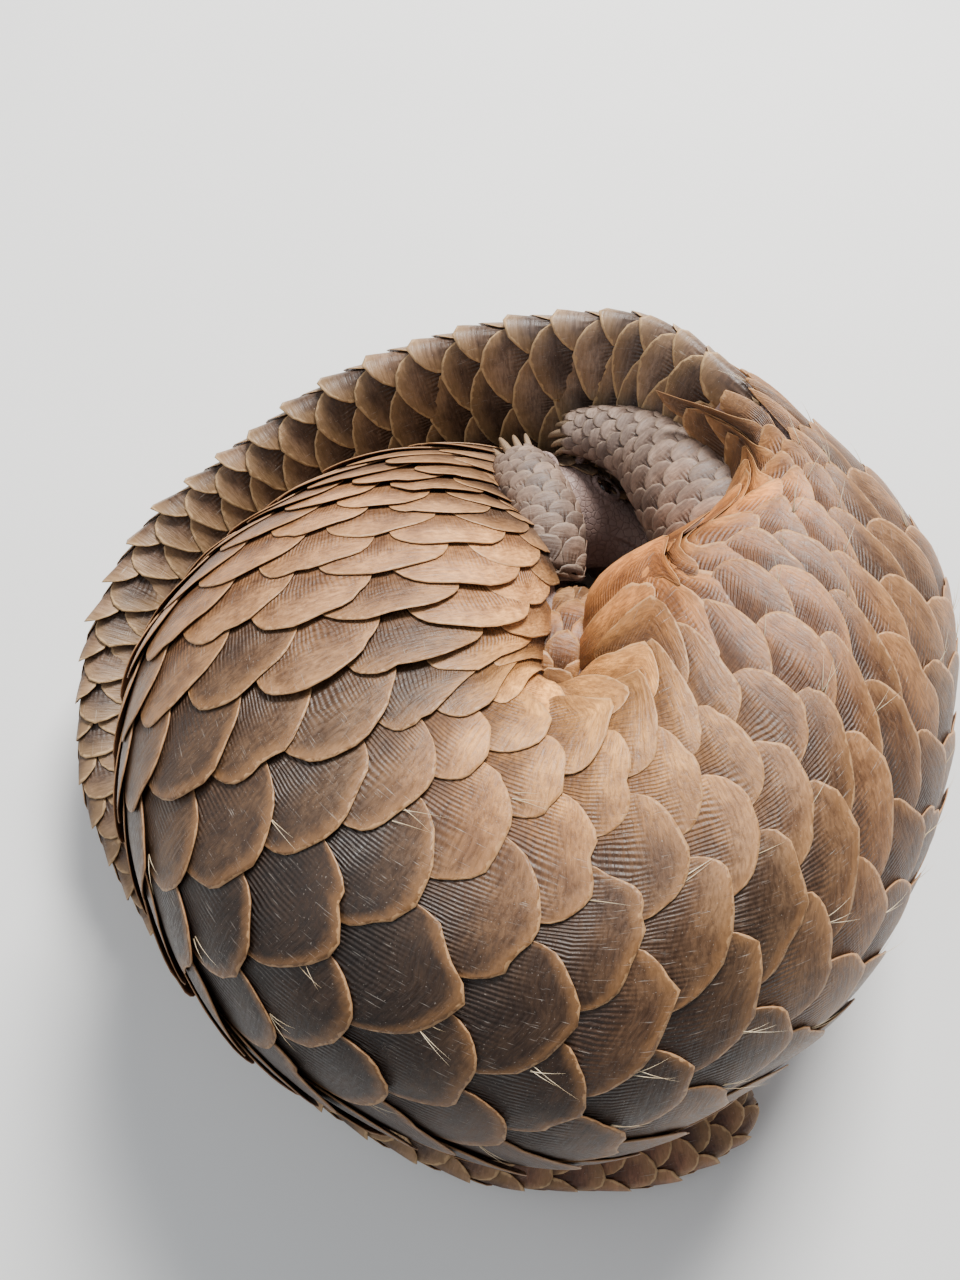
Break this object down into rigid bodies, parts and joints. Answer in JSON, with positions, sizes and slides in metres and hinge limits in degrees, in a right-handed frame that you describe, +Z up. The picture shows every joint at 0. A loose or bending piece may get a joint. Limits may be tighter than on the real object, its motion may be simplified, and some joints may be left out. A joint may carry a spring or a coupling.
{
  "type": "sunda pangolin curled into a ball, still model",
  "caption": "Life-size still model of a scaled anteater curled up on its side in a ball, head tucked inside and tail wrapped round.",
  "frame": {"origin": "on the floor, under the middle of the bounding box", "axes": "+Z up, +X to the right and +Y away from the viewer in the picture"},
  "size_m": [0.3072, 0.3042, 0.1577],
  "materials": {
    "horn_scales": "satin horn, tan to grey-brown, paler amber at the free edges",
    "tail_scales": "satin horn, grey-brown with amber edges",
    "skin": "bare wrinkled skin, pinkish grey",
    "eye": "wet black-brown"
  },
  "bodies": {
    "root": {"neck": "horn_scales", "torso_shoulder": "horn_scales", "torso_middle": "horn_scales", "torso_hip": "horn_scales", "tail_1": "tail_scales", "tail_2": "tail_scales", "tail_3": "tail_scales", "tail_4": "tail_scales", "head": "skin", "ear_right": "skin", "ear_left": "skin", "eye_right": "eye", "eye_left": "eye", "leg_front_right": "horn_scales", "leg_front_left": "horn_scales", "leg_hind_right": "horn_scales", "leg_hind_left": "horn_scales"}
  },
  "joints": []
}
